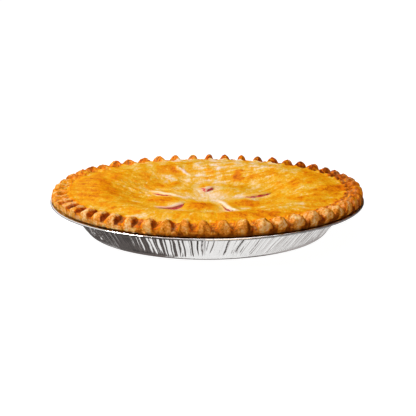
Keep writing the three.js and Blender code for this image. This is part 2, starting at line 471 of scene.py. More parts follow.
def foilFinish():
    graph = Graph("pressedFoil", {"Metallic": 1.0})
    grain = graph.noise(900, 3, 0.6)
    dents = graph.noise(140, 2, 0.5)
    graph.feed("Roughness", 0.08 + grain * 0.1)
    # pale foil, with painted shade along the seam under the bead
    foilAndSeamShade = [(0.2, (0.90, 0.89, 0.88)), (0.8, (0.14, 0.13, 0.12))]
    graph.feed("Base Color", graph.ramp(graph.mask("seam"), foilAndSeamShade))
    graph.feed("Normal", graph.bump(dents * 0.7 + grain * 0.3, 0.0004, 0.5))
    return graph.material


# Crust

crustBox = [np.array(corner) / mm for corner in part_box("pastry_crust")]
crust = {
    "rimRadius": crustBox[1][0],
    "floor": crustBox[0][2],
    "top": crustBox[1][2],
    "gap": 0.3,  # between the pastry and the pan
    "crimps": 52,
    "columnsPerCrimp": 20,
    "crownPlace": 0.42,  # of a crimp's width, from its start to its crown
    "lean": 0.22,  # of a crimp's width, from the outer edge in to the lid
    "caseThickness": 3.5,
    "lidThickness": 4,
    "centreHeight": 24,
    "crestHeight": 31,
    "crestRadius": 84,
    "dishRadius": 42,
    "edgeRadius": 99,
    "edgeHeight": 30.1,
    "marginRadius": 101.2,
    "marginDip": 0.2,  # of the lid's margin below the rim
    "blendRadius": 97,  # the lid begins to run into the rim here
    "blendWidth": 3.5,
    "frontRise": 1.1,  # the front is this much higher, and the back this much lower
    "hollowRadius": 97.4,
    "petalHeight": 1.9,
    "petalSpread": 9,
    "petalReach": 28,
    "lipHeight": 1.5,
    "rimSeat": 110.4,  # the rim lies on the flange inside this radius
    "rimTrim": 0.2,  # off the radii of its path
    "ledgeRadius": 113.6,
    "fanCentre": (0, -40),
    "ringSpacing": 0.95,
}

# browned patches on the lid: the middle of each, its size across and away, its height, and how brown
patches = table(("x", "y", "across", "away", "height", "browned"), [
    (23, 58, 6, 9, 1.0, 0.46),
    (33, 49, 6, 6, 0.5, 0.18),
    (51, 52, 9, 5, 0.6, 0.36),
    (58, 40, 7, 6, 0.6, 0.14),
    (65, 20, 6, 7, 0.5, 0.18),
    (22, 29, 7, 5, 0.4, 0.22),
    (48, 30, 6, 4, 0.4, 0.14),
    (13, 10, 6, 4, 0.3, 0.24),
    (-18, 9, 8, 4, 0.4, 0.22),
    (-39, 30, 5, 6, 0.7, 0.30),
    (-24, 39, 4, 6, 0.5, 0.24),
    (-50, 47, 9, 9, 0.5, 0.16),
    (-28, 67, 11, 9, 0.9, 0.28),
    (8, 62, 9, 9, 0.6, 0.14),
    (-52, -10, 5, 3, 0.4, 0.22),
    (-78, 4, 9, 16, 0.3, 0.16),
    (-31, -17, 10, 10, 0.3, 0.37),
    (-6, -35, 11, 13, 0.3, 0.56),
    (32, -29, 12, 8, 0.3, 0.56),
    (90, -6, 10, 24, 0.1, 0.14),
    (40, -82, 32, 11, 0.0, 0.38),
    (-84, -30, 8, 14, 0.2, 0.10),
])

# sharp folds in the lid: two ends, width, height and how much paler the ridge is, a painted highlight
folds = table(("from", "to", "width", "height", "paler"), [
    ((-26, 74), (-12, 55), 1.1, 0.9, 0.55),
    ((10, 86), (26, 80), 1.2, 0.4, 0.30),
    ((-12, 78), (8, 66), 0.9, 0.4, 0.10),
    ((-2, 79), (16, 82), 0.9, 0.4, 0.28),
    ((40, 68), (60, 62), 1.4, 0.4, 0.22),
    ((44, 44), (62, 52), 1.2, 0.5, 0.25),
    ((-60, 16), (-40, -2), 1.3, 0.4, 0.20),
    ((-34, 52), (-20, 44), 1.3, 0.4, 0.25),
    ((-58, -28), (-36, -30), 1.6, 0.4, 0.22),
    ((36, -76), (62, -56), 1.2, 0.4, 0.22),
])

# the second vent has torn a little on its other side
sideTear = {"from": (-0.6, 8), "to": (-5.4, 20), "width": 0.8}

# the rim from its lower edge, up the outer face and over to the lid
rimPath = {
    "step": [0, 1, 2, 3, 4, 5],
    "radius": [113.9, 115, 114.4, 110.4, 105.8, 102],
    "notch": [25.4, 26.9, 27.6, 28.2, 28.6, 30.1],
    "crown": [25.4, 28, 30.8, 32.7, 31.7, 30.5],
}

# the case's own edge, a narrow ledge under the rim: how far inside the ledge's radius, and how high
ledgePath = ((0.6, 23.35), (0.1, 23.9), (0, 24.8))

# how far the lower edge of the rim stands above its usual height, and how much farther it reaches, by
# bearing in degrees from the front
edgeShape = {
    "bearing": [-180, -110, -92, -80, -72, -66, -46, -39, -32, -22, 0, 35, 55, 75, 100, 180],
    "lift": [0, -0.6, -1.7, -1.6, -0.2, 2.0, 1.7, -0.3, -1.0, -0.2, 0.1, 0.1, -0.7, -1.3, -1.5, 0],
    "reach": [0, 0.5, 0.9, 0.9, 0.5, 0, 0, 0, 0, 0, 0, 0, 0.4, 0.8, 0.8, 0],
}


def petalMiddles():
    # a petal of the lid is raised between each two vents
    middles = []
    for here, there in zip(ventBearings, ventBearings[1:] + ventBearings[:1]):
        between = here + ((there - here) % turn) / 2
        middles.append((starCentre[0] + crust["petalReach"] * math.cos(between),
                        starCentre[1] + crust["petalReach"] * math.sin(between)))
    return middles


petals = petalMiddles()


def plainLid(x, y):
    # the lid's broad form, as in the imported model
    radius = np.hypot(x, y)
    risen = smooth((radius - crust["dishRadius"]) / (crust["crestRadius"] - crust["dishRadius"]))
    fallen = smooth((radius - crust["crestRadius"]) / (crust["edgeRadius"] - crust["crestRadius"]))
    height = crust["centreHeight"] + (crust["crestHeight"] - crust["centreHeight"]) * risen
    height += (crust["edgeHeight"] - crust["crestHeight"]) * fallen
    height -= crust["frontRise"] * y / crust["rimRadius"]
    for petalX, petalY in petals:
        height += crust["petalHeight"] * hill(np.hypot(x - petalX, y - petalY), crust["petalSpread"])
    return height


def fanPlace(x, y):
    dx, dy = x - crust["fanCentre"][0], y - crust["fanCentre"][1]
    return np.arctan2(dy, dx), np.hypot(dx, dy)


def fanWaves(x, y, least, most, seed):
    # wrinkles that run out across the lid like the ribs of a fan
    rng = np.random.default_rng(seed)
    bearing, reach = fanPlace(x, y)
    total = 0
    count = 14
    for _ in range(count):
        ribs = rng.integers(least, most)
        twist = rng.uniform(-60, 60)
        total = total + np.sin(ribs * bearing + reach * turn / twist + rng.uniform(0, turn))
    return total / math.sqrt(count / 2)


def lipRelief(vent, x, y):
    # one lip stands up and rolls back, and the other dips
    along, across = ventPlace(vent, x, y)
    side = across * vent["raised"]
    half = vent["length"] / 2
    taper = smooth((half + 6 - np.abs(along)) / (half * 0.7 + 6))
    up = hill(side - 2.6, np.where(side < 2.6, 2.0, 4.0))
    down = hill(side + 0.8 * vent["width"], 2.6)
    return taper * (crust["lipHeight"] * up - 0.45 * down)


def patchShare(patch, x, y):
    return np.exp(-((x - patch["x"]) / patch["across"])**2 - ((y - patch["y"]) / patch["away"])**2)


def foldShare(fold, x, y):
    # 1 along the middle of a fold, which wavers a little and dies out at both ends
    (x1, y1), (x2, y2) = fold["from"], fold["to"]
    length = math.hypot(x2 - x1, y2 - y1)
    c, s = (x2 - x1) / length, (y2 - y1) / length
    along = (x - x1) * c + (y - y1) * s
    across = (y - y1) * c - (x - x1) * s - 0.6 * np.sin(along * 0.7) - 0.4 * np.sin(along * 1.9)
    return hill(across, fold["width"]) * smooth(along / 4) * smooth((length - along) / 4)


def petalRelief(x, y):
    # between two vents the dough has puffed; 1 at the middle of a petal, 0 along the vents
    dx, dy = x - starCentre[0], y - starCentre[1]
    reach = np.hypot(dx, dy)
    bearing = np.arctan2(dy, dx) % turn
    starts = sorted(ventBearing % turn for ventBearing in ventBearings)
    total = np.zeros_like(reach)
    for here, there in zip(starts, starts[1:] + [starts[0] + turn]):
        for lap in (0, turn):
            share = np.clip((bearing + lap - here) / (there - here), 0, 1)
            total = total + np.sin(share * math.pi) ** 1.2 * ((share > 0) & (share < 1))
    return total * smooth((reach - 4) / 18) * (1 - smooth((reach - 24) / 26))


def lidRelief(x, y):
    # what baking adds: puffs, folds, wrinkles and the lips of the vents
    radius = np.hypot(x, y)
    inside = 1 - smooth((radius - 88) / 10)
    fromStar = np.hypot(x - starCentre[0], y - starCentre[1])
    fanned = smooth((fanPlace(x, y)[1] - 25) / 30) * smooth((fromStar - 22) / 25)
    relief = 0.12 * ripples(x, y, 34, 11) * inside
    relief += 0.12 * fanWaves(x, y, 16, 40, 14) * fanned * inside
    relief += 0.07 * fanWaves(x, y, 50, 100, 15) * fanned * (0.3 + 0.7 * inside)
    relief += 0.08 * ripples(x, y, 10, 12) * inside
    relief += 0.05 * ripples(x, y, 4, 13) * (0.5 + 0.5 * inside)
    relief += 0.25 * petalRelief(x, y)
    relief += 0.3 * hill(radius - crust["marginRadius"] + 0.5, 1.2)
    for patch in patches:
        relief += 0.6 * patch["height"] * patchShare(patch, x, y)
    for fold in folds:
        relief += fold["height"] * foldShare(fold, x, y)
    for vent in vents:
        relief += lipRelief(vent, x, y)
    return relief


def crimpShape(angle, step):
    # rise is how high the edge stands, from 0 in a notch to 1 on a crown; flank is 1 on the side of a
    # crown that faces larger angles, wall is 1 where that is steep, and pocket is 1 at its foot
    inward = np.clip((step - 1) / 5, 0, 1)
    place = angle / turn * crust["crimps"] + crust["crownPlace"] + crust["lean"] * inward
    narrow = 0.95 + 0.1 * smooth((step - 1) / 2) + 0.3 * smooth((step - 3) / 2)
    rise, flank, wall, pocket = np.zeros((4, *np.shape(place)))
    for lap in (-1, 0, 1):
        k = np.floor(place) + lap
        index = k % crust["crimps"]
        middle = k + crust["crownPlace"] + 0.12 * uneven(index, 5)
        bearing = (index / crust["crimps"] + 0.5) % 1 * turn - math.pi
        behind = hill(np.abs(bearing) - math.pi, 0.7)
        wide = 1 - 0.2 * hill(bearing - 0.9, 0.4) + 0.25 * behind
        away = (place - middle) * narrow * (1 + 0.2 * uneven(index, 6)) * wide
        size = 1 + 0.2 * uneven(index, 4) + 0.11 * np.cos(bearing)
        size = size - 0.22 * hill(bearing + 0.75, 0.3) - 0.66 * hill(bearing + 1.47, 0.31)
        near = 1 - np.clip(-away / 0.41, 0, 1)**2.6
        near = mix(near, np.sqrt(1 - np.clip(-away / 0.34, 0, 1)**2), behind)
        far = np.sqrt(1 - np.clip(away / 0.27, 0, 1)**2)
        rise = np.maximum(rise, np.where(away < 0, near, far) * size)
        flank = np.maximum(flank, smooth((away + 0.04) / 0.22) * (1 - smooth((away - 0.29) / 0.06)))
        wall = np.maximum(wall, smooth((away - 0.15) / 0.07) * (1 - smooth((away - 0.29) / 0.06)))
        gap = 0.06 + 0.04 * smooth((bearing - 0.1) / 0.4) * (bearing < 1.4)
        pocket = np.maximum(pocket, hill(away - 0.34, gap))
        # at the right, also just behind the crown before, where painted shade marks the gaps
        pocket = np.maximum(pocket, hill(away + 0.43, 0.06) * hill(bearing - 1.4, 0.3))
    return rise, flank, wall, pocket


def rimRing(angle, step):
    # a ring of the rim, at a step of its path
    steps = np.full_like(angle, step)
    radius, low, high = [curveThrough(rimPath["step"], rimPath[name], steps)
                         for name in ("radius", "notch", "crown")]
    rise, _, _, pocket = crimpShape(angle, step)
    degrees = np.degrees(fromFront(angle))
    lift = curveThrough(edgeShape["bearing"], edgeShape["lift"], degrees)
    reach = curveThrough(edgeShape["bearing"], edgeShape["reach"], degrees)
    lowerEdge = 1 - smooth((step - 0.5) / 1.5)
    low -= 0.7 * pocket * smooth((step - 1) / 0.8) * (1 - smooth((step - 3.6) / 1.2))
    tilt = crust["frontRise"] * np.cos(angle) * smooth(step)
    height = low + np.maximum(high - low, 0) * rise + tilt + lift * lowerEdge
    x, y = radius * np.sin(angle), -radius * np.cos(angle)
    rough = 1 + 1.5 * hill(np.radians(degrees) - 0.7, 0.4)
    height += 0.20 * ripples(x, y, 6, 21) * smooth(step / 2)
    height += 0.10 * rough * ripples(x, y, 2.2, 22) * smooth(step)
    height += 0.35 * ripples(x, y, 9, 23) * (1 - smooth(step / 1.5))
    radius += reach * lowerEdge
    radius += 0.15 * ripples(x, y, 3, 24) * hill(step - 1, 1)
    radius -= 0.5 * (1 - rise) * (step > 0.5)
    margin = 0.05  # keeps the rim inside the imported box
    radius = np.minimum(radius - crust["rimTrim"], crust["rimRadius"] - margin)
    return onCircle(angle, radius, np.minimum(height, crust["top"] - margin))


def lidRing(count, radius):
    points = evenRing(count, radius, 0)
    x, y = points[:, 0], points[:, 1]
    edge = smooth((radius - crust["blendRadius"]) / crust["blendWidth"])
    points[:, 2] = plainLid(x, y) + lidRelief(x, y)
    if edge > 0:
        rim = rimRing(angles(count), rimPath["step"][-1])
        points[:, 2] = mix(points[:, 2], rim[:, 2] - crust["marginDip"], edge)
    return points


def lidCount(radius):
    # columns in a ring of the lid: a whole number to each crimp, closer than a millimetre apart
    for columns in (1, 2, 3, 5, 7, 10, 14):
        count = crust["crimps"] * columns
        if turn * radius / count < 1:
            break
    return count


def makePie():
    # case and lid as one solid: up the outside of the case, over the rim and in across the lid
    gap, crimps = crust["gap"], crust["crimps"]
    inset = pan["pleatDepth"] / 2 + 0.8
    rings = [
        evenRing(1, 0, crust["floor"]),
        evenRing(crimps, pan["baseRadius"] - 1.4, crust["floor"]),
        evenRing(4 * crimps, pan["footRadius"] - inset, pan["footHeight"] + gap),
        evenRing(4 * crimps, pan["wallTopRadius"] - inset, pan["wallTopHeight"] + gap),
        evenRing(4 * crimps, pan["flangeInside"] - 0.4, pan["flangeTop"] + gap),
        evenRing(4 * crimps, crust["rimSeat"], pan["flangeTop"] + 0.4),
    ]
    allRound = angles(crimps * crust["columnsPerCrimp"])
    x, y = 113 * np.sin(allRound), 113 * np.cos(allRound)
    for inside, height in ledgePath:
        radii = crust["ledgeRadius"] - inside + 0.2 * ripples(x, y, 5, 31)
        rings.append(onCircle(allRound, radii, height + 0.12 * ripples(x, y, 4, 32)))
    for step in np.concatenate([np.linspace(0, 2, 11), np.linspace(2.12, 5, 20)]):
        rings.append(rimRing(allRound, step))
    for radius in np.arange(crust["marginRadius"], 1, -crust["ringSpacing"]):
        rings.append(lidRing(lidCount(radius), radius))
    rings.append(lidRing(1, 0.01))
    return makeMesh("pieCrust", *skin(rings))


def makeInside(clearance):
    # the space between the case and the lid, smaller all round by the clearance
    inset = pan["pleatDepth"] / 2 + 0.7 + crust["caseThickness"] + clearance
    floor = crust["floor"] + crust["caseThickness"] + clearance
    columns = 2 * crust["crimps"]
    rings = [
        evenRing(1, 0, floor),
        evenRing(columns, pan["baseRadius"] - 2.4 - clearance, floor),
        evenRing(columns, pan["footRadius"] - inset, floor + 1.8),
        evenRing(columns, pan["wallTopRadius"] - inset, pan["wallTopHeight"]),
        evenRing(columns, crust["hollowRadius"] - 0.6 - clearance, pan["wallTopHeight"] + 3.4),
    ]
    under = [evenRing(columns, radius, 0) for radius in np.arange(crust["hollowRadius"] - 5, 3, -4.5)]
    for points in under + [evenRing(1, 0, 0)]:
        points[:, 2] = plainLid(points[:, 0], points[:, 1]) - crust["lidThickness"] - clearance
        rings.append(points)
    return skin(rings)


def makeSlit(vent):
    # an almond-shaped prism from above the lid down into the hollow, to cut a vent with
    t = np.linspace(-1, 1, 49)
    back = t[1:-1][::-1]
    left = vent["raised"] > 0
    wave = 1 + 0.06 * np.sin(t * 7 + vent["x"])
    right = ventPoint(vent, t, -ventEdge(vent, t, not left) * wave)
    over = ventPoint(vent, back, ventEdge(vent, back, left))
    x, y = np.concatenate([right, over], axis=1)
    count = len(x)
    surface = plainLid(vent["x"], vent["y"])
    low = np.stack([x, y, np.full(count, surface - crust["lidThickness"] - 4)], axis=1)
    high = np.stack([x, y, np.full(count, surface + 8)], axis=1)
    faces = stitch(0, count, count, count)
    faces += [list(range(count))[::-1], list(range(count, 2 * count))]
    return makeMesh("slit", np.concatenate([low, high]), faces)


def makeCrust():
    piece = makePie()
    hollow = makeMesh("hollow", *makeInside(0))
    cut(piece, [hollow] + [makeSlit(vent) for vent in vents])
    return piece


# stretches of the rim that baked in their own way: the bearing of the middle of each, and its spread
stretches = {
    "leftBack": (-2.25, 0.6),
    "farLeft": (-1.45, 0.3),
    "leftFront": (-0.65, 0.45),
    "right": (1.3, 0.5),
}


def inStretch(name, angle):
    middle, spread = stretches[name]
    return hill(angle - middle, spread)


def inNotch(rise):
    return 1 - smooth((rise - 0.1) / 0.3)


def fromPaleMiddle(x, y):
    return np.hypot(x - starCentre[0] - 3, (y - starCentre[1] - 3) * 0.8)


def lidBakeAndPaintedLight(x, y, relief):
    # how brown the lid is, leaving out its vents and its margin, with painted sheen and highlights at
    # the back and painted shade at the right
    petalPatches = [patch for patch in patches if patch["y"] < -14 and abs(patch["x"]) < 35]
    petalTops = np.clip(1.2 * sum(patchShare(patch, x, y) for patch in petalPatches), 0, 1)
    away = fromPaleMiddle(x, y)
    bake = 0.50 + 0.05 * ripples(x, y, 38, 41) + 0.05 * ripples(x, y, 12, 42, 2, math.pi / 2)
    bake += 0.07 * np.clip(relief, -1, 1)
    bake -= (0.18 * hill(away, 28) + 0.26 * hill(away, 10)) * (1 - petalTops)
    # paler across the back middle, with paler wrinkles and creases: partly paler glaze, partly painted
    # sheen
    bake -= 0.08 * hill(x - 5, 45) * smooth((y - 20) / 40)
    wrinkles = np.clip(ripples(x, y, 8.5, 46, 3.4, 0.12), -0.5, 1.1)
    bake -= 0.13 * wrinkles * hill(x - 18, 42) * smooth((y - 30) / 30)
    creases = np.clip(ripples(x, y, 4.5, 49, 4, 0.15) - 0.3, 0, 1)
    bake -= 0.28 * creases * hill(x - 12, 38) * smooth((y - 32) / 25)
    # browner towards the left edge, and darker towards the right, where painted shade stands for the
    # light falling off
    bake += 0.14 * smooth((-x - 35) / 40) + 0.14 * smooth((x - 50) / 45)
    bake -= 0.10 * hill(y + 48, 12) * smooth((40 - np.abs(x - 5)) / 30)
    for patch in patches:
        bake += patch["browned"] * patchShare(patch, x, y)
    # the ridges of the folds are paler: a painted highlight
    for fold in folds:
        bake -= fold["paler"] * foldShare(fold, x, y)
    return bake - 0.5 * np.maximum(bake - 0.72, 0)


def lidMasks(x, y, z):
    # the lid's bake with its painted highlights and shade, its stain and its calm
    radius, angle = np.hypot(x, y), np.arctan2(x, -y)
    relief = lidRelief(x, y)
    bake = lidBakeAndPaintedLight(x, y, relief)
    calm = 0.6 * hill(fromPaleMiddle(x, y), 14)
    # the slits' walls are soaked with juice
    sunk = plainLid(x, y) + relief - z
    stain = smooth((sunk - 0.1) / 1.8) * (radius < 90)
    for vent in vents:
        along, across = ventPlace(vent, x, y)
        fromEnd = vent["length"] / 2 - np.abs(along)
        side = across * vent["raised"]
        taper = smooth((fromEnd + vent["beyond"]) / (vent["beyond"] + 5))
        bake -= vent["paler"] * hill(side - 0.9 - vent["lip"], vent["lip"]) * taper
        bake -= 0.12 * hill(side + 0.8 * vent["width"] + 1, 2) * taper
        calm = np.maximum(calm, hill(side - 1, 3.5) * taper)
        soak = smooth((3.8 - side) / 3.2) * (side > 0) * smooth(fromEnd / 4)
        stain = np.maximum(stain, vent["soaked"] * soak * (sunk < 3))
    stain = np.maximum(stain, foldShare(sideTear, x, y))
    # a pale line inside the rim at the left and the back
    margin = smooth((-x - 10) / 60) + hill(angle - math.pi, 0.9) + hill(angle + math.pi, 0.9)
    margin = np.clip(0.15 + margin - 0.9 * hill(angle + 1.5, 0.4), 0, 1)
    bake -= 0.17 * hill(radius - crust["marginRadius"] + 0.7, 0.9) * margin
    bake -= 0.16 * hill(radius - 97.5, 3) * hill(angle + 0.75, 0.4)
    return bake, stain, calm


def doughShare(z, radius, angle, rise, wall):
    # 1 where the rim's pastry is bare: the outer faces of the crowns, and the lower edge
    leftFront, farLeft = inStretch("leftFront", angle), inStretch("farLeft", angle)
    front = smooth((angle - 0.1) / 0.3) * smooth((1.45 - angle) / 0.3)
    reach = 109.2 - 3 * front - 4 * farLeft - 5 * leftFront
    face = smooth((rise - 0.2 - 0.45 * leftFront + 0.5 * farLeft) / 0.12)
    face *= smooth((radius - reach) / 1.2) * (1 - wall)
    lower = smooth((27.6 - z) / 0.8) * (radius > 108)
    dough = np.maximum(np.maximum(face, lower), 0.42 * inNotch(rise) * hill(angle - 0.4, 0.6))
    dough *= 1 - 0.7 * smooth((angle - 0.95) / 0.3)
    return np.maximum(dough, 0.3 * hill(angle - 1.5, 0.35) + 0.4 * inStretch("leftBack", angle))


def rimBakeAndPaintedShade(x, y, angle, back, rise, wall, pocket):
    # how brown the rim is, with painted shade on the steep walls of the crowns and in the pockets at
    # their feet
    radius = np.hypot(x, y)
    low = inNotch(rise)
    leftFront = inStretch("leftFront", angle)
    # the steep walls of the crowns are darker: partly browner crust, partly painted shade
    bake = 0.62 + (0.16 + 0.24 * leftFront + 0.24 * smooth(angle / 0.4)) * wall
    # painted shade in the pockets at the foot of the walls, deepest at the right
    bake += (0.32 + 0.5 * smooth((angle - 1.0) / 0.3)) * pocket
    bake += 0.12 * leftFront - 0.16 * inStretch("farLeft", angle) + 0.2 * inStretch("right", angle)
    bake += back * (0.18 + 0.06 * np.sin(angle) + 0.12 * (rise - 0.6))
    bake += 0.22 * smooth((angle - 0.6) / 0.4) * smooth((107 - radius) / 2)
    bake += 0.26 * leftFront * low * smooth((113 - radius) / 2)
    bake += (0.22 * smooth((angle - 0.2) / 0.4) + 0.12 * hill(angle - 0.1, 0.4)) * low
    bake += 0.24 * low * smooth((radius - 106.5) / 4) * hill(angle - 0.3, 0.6)
    return bake + (0.14 + 0.1 * low) * ripples(x, y, 3, 48) * (1 - leftFront)


def toastAndPaintedLightShare(x, y, z, angle, rise, flank, pocket):
    # how browned the bare pastry is, with painted shade and highlights on the crowns at the right
    toast = 0.02 + 0.46 * smooth((angle + 0.75) / 0.7) - 0.08 * hill(angle - 0.85, 0.35)
    toast += 0.5 * inStretch("leftBack", angle) + 0.2 * hill(angle - 1.5, 0.35)
    toast += 0.14 * ripples(x, y, 8, 43) + 0.15 * ripples(x, y, 4, 47) * smooth((angle - 0.2) / 0.3)
    # on the crowns at the right: painted shade on the side away from the light and in the pockets, and
    # a painted highlight on the rest
    toast += (0.8 * flank + 0.5 * pocket - 0.3) * smooth(angle / 0.4)
    toast += 0.12 * smooth((28.2 - z) / 1.5) * smooth((angle - 0.2) / 0.3)
    toast += 0.25 * smooth((26.8 - z) / 1.5) * smooth((angle + 0.5) / 0.4)
    return toast + 0.3 * hill(rise - 0.26, 0.12)


def scorchAndShadowShare(z, radius, angle):
    # 1 under the rim's lower edge, where the crust is browned and also darkened with painted shadow
    lift = curveThrough(edgeShape["bearing"], edgeShape["lift"], np.degrees(angle))
    under = smooth((25.3 - z + lift) / 0.5) * (0.6 + 0.4 * smooth((24.6 - z) / 1.2)) * (radius > 100)
    under *= 1 - 0.9 * hill(angle + 1.4, 0.35) - 0.8 * hill(angle - 1.35, 0.5)
    return under * smooth((crust["ledgeRadius"] + 0.4 - radius) / 0.3)


def bakeAndPaintedLightMasks(piece):
    # the masks: how brown the pastry is, from 0, pale, to 1, brown, with painted shade on the rim and
    # painted highlights on the lid; where the pastry is bare, and how browned that is, with painted
    # shade and highlights on the crowns at the right; where juice has soaked in; under the rim, browned
    # and painted with shadow; and where the lid is evenly baked
    x, y, z = readPoints(piece).T
    radius, angle = np.hypot(x, y), np.arctan2(x, -y)
    bake, stain, calm = lidMasks(x, y, z)
    # the step of the rim's path that a point is at, from its radius
    radii = np.array(rimPath["radius"][1:]) - crust["rimTrim"]
    step = np.interp(-radius, [*-radii, -98], [*rimPath["step"][1:], 5.6])
    rise, flank, wall, pocket = crimpShape(angle, step)
    right = inStretch("right", angle)
    rimPart = smooth((radius - 102.6 + 2 * right) / (1.2 + 2.8 * right))
    wall *= 1 - 0.6 * inStretch("farLeft", angle)
    dough = doughShare(z, radius, angle, rise, wall) * rimPart
    # behind, the walls and pockets of the crimps are less browned and get less painted shade
    back = smooth((np.abs(angle) - 1.5) / 0.4)
    wall *= 1 - 0.8 * back
    pocket *= 1 - 0.8 * back
    bake = mix(bake, rimBakeAndPaintedShade(x, y, angle, back, rise, wall, pocket), rimPart)
    # the outer edges of the crowns are outlined in brown, darker on the side away from the light, which
    # is painted shade
    edges = hill(radius - 109.6, 0.8) * smooth((rise - 0.4) / 0.2) * rimPart
    outlined = (1 - inStretch("leftFront", angle)) * (1 - inStretch("farLeft", angle))
    bake += (0.36 + 0.3 * flank) * outlined * edges
    masks = {
        "bake": np.clip(bake, 0, 1.2),
        "dough": np.clip(dough, 0, 1),
        "toast": np.clip(toastAndPaintedLightShare(x, y, z, angle, rise, flank, pocket), 0, 1),
        "stain": stain,
        "scorch": scorchAndShadowShare(z, radius, angle),
        "calm": np.clip(calm, 0, 1),
    }
    for name, values in masks.items():
        addMask(piece, name, values)
    bearing, reach = fanPlace(x, y)
    addVectors(piece, "fan", np.stack([9 * np.cos(bearing), 9 * np.sin(bearing), reach / 30], axis=1))


def crustFinish():
    graph = Graph("bakedCrust", {
        "Specular IOR Level": 0.0,
        "Coat Roughness": 0.3,
        "Subsurface Weight": 0.3,
        "Subsurface Radius": (1.0, 0.35, 0.1),
        "Subsurface Scale": 0.0015,
    })
    dough = graph.mask("dough")
    toast = graph.mask("toast")
    speckle = graph.noise(1300, 3, 0.65)
    patch = graph.noise(120, 3, 0.6)
    streaks = graph.noise(1.6, 5, 0.65, graph.mask("fan", "Vector"))
    mottle = graph.noise(420, 3, 0.6, graph.stretched(1.0, 0.42, 1.0))
    flecks = graph.ramp(graph.noise(800, 2, 0.5, graph.stretched(1.0, 0.5, 1.0)), [
        (0.60, (0, 0, 0)),
        (0.68, (1, 1, 1)),
    ])
    unevenBake = (patch - 0.5) * 0.3 + (streaks - 0.5) + (mottle - 0.5) * 0.75 + (speckle - 0.5) * 0.5
    keep = 1 - graph.mask("calm") * 0.75
    shade = (graph.mask("bake") + (unevenBake - flecks * 0.18) * keep) * 0.8
    glaze = graph.ramp(shade, [
        (0.0, (0.94, 0.74, 0.57)),
        (0.1, (0.92, 0.63, 0.36)),
        (0.2, (0.88, 0.535, 0.15)),
        (0.3, (0.86, 0.455, 0.045)),
        (0.4, (0.85, 0.39, 0.006)),
        (0.5, (0.84, 0.315, 0.001)),
        (0.6, (0.80, 0.225, 0.001)),
        (0.7, (0.70, 0.15, 0.001)),
        (0.82, (0.48, 0.08, 0.001)),
        (1.0, (0.17, 0.025, 0.001)),
    ])
    crumb = graph.noise(700, 4, 0.7)
    bare = graph.ramp((crumb - 0.5) * (1.7 - toast) + patch * 0.4 + 0.2 + toast * 0.6, [
        (0.2, (0.95, 0.67, 0.33)),
        (0.4, (0.88, 0.51, 0.17)),
        (0.57, (0.85, 0.34, 0.05)),
        (0.74, (0.66, 0.21, 0.015)),
        (0.9, (0.38, 0.09, 0.004)),
        (1.0, (0.16, 0.036, 0.003)),
    ])
    colour = graph.mixColours(dough, glaze, bare)
    stain = graph.mask("stain")
    juice = graph.ramp(stain, [
        (0.2, (0.94, 0.56, 0.38)),
        (0.6, (0.85, 0.22, 0.15)),
        (1.0, (0.66, 0.04, 0.035)),
    ])
    colour = graph.mixColours((stain * 4).clamped(), colour, juice)
    # under the rim: browned crust, darkened further with painted shadow
    scorchedAndShadowed = graph.ramp(crumb, [(0.35, (0.04, 0.01, 0.001)), (0.65, (0.30, 0.09, 0.012))])
    colour = graph.mixColours(graph.mask("scorch"), colour, scorchedAndShadowed)
    graph.feed("Base Color", colour)
    graph.feed("Roughness", 0.36 + dough * 0.35 + (speckle - 0.5) * 0.2)
    graph.feed("Coat Weight", (0.08 - dough * 0.08).clamped())
    relief = streaks * 0.25 + mottle * 0.4 + patch * 0.2 + crumb * (0.25 + dough * 0.6) + speckle * 0.15
    graph.feed("Normal", graph.bump(relief, 0.0011, 0.8))
    return graph.material


# Filling

filling = {
    "clearance": 0.3,  # from the pastry
    "lowLevel": -0.6,  # along a vent's low lip, from the plain lid
    "side": 0.35,  # mean gap at each side of a vent
    "reach": 0.97,  # of the way to a vent's ends
    "lumps": 0.2,
    "depth": 1.5,  # of a vent's filling below the lid's underside
    "across": 18,
    "along": 64,
}


def makeMound(vent, start):
    # the filling that has welled up in a vent: an almond with lumps of fruit, closed underneath
    rows = []
    for t in np.linspace(-filling["reach"], filling["reach"], filling["along"]):
        inner = max(0.1, 1 - filling["side"] * 2 / vent["width"])
        right = -ventEdge(vent, t, vent["raised"] < 0) * inner
        left = ventEdge(vent, t, vent["raised"] > 0) * inner
        side = np.linspace(-1, 1, filling["across"])
        x, y = ventPoint(vent, t, mix(right, left, (side + 1) / 2))
        raised = smooth((side * vent["raised"] + 1) / 2) * (1 - t**4)
        level = mix(filling["lowLevel"], vent["welled"], raised)
        top = plainLid(x, y) + level + filling["lumps"] * ripples(x, y, 5, 51)
        bottom = plainLid(x, y) - crust["lidThickness"] - filling["depth"]
        upper = np.stack([x, y, np.maximum(top, bottom + 0.5)], axis=1)
        lower = np.stack([x, y, bottom], axis=1)[::-1]
        rows.append(np.concatenate([upper, lower]))
    count = len(rows[0])
    points = np.concatenate(rows)
    faces = []
    for i in range(len(rows) - 1):
        for j in range(count):
            k = (j + 1) % count
            faces.append([start + i * count + j, start + (i + 1) * count + j,
                          start + (i + 1) * count + k, start + i * count + k])
    faces.append([start + j for j in range(count)])
    faces.append([start + (len(rows) - 1) * count + j for j in range(count)][::-1])
    return points, faces


def makeFilling():
    points, faces = makeInside(filling["clearance"])
    parts = [points]
    total = len(points)
    for vent in vents:
        moundPoints, moundFaces = makeMound(vent, total)
        parts.append(moundPoints)
        faces += moundFaces
        total += len(moundPoints)
    return makeMesh("fruitFilling", np.concatenate(parts), faces)


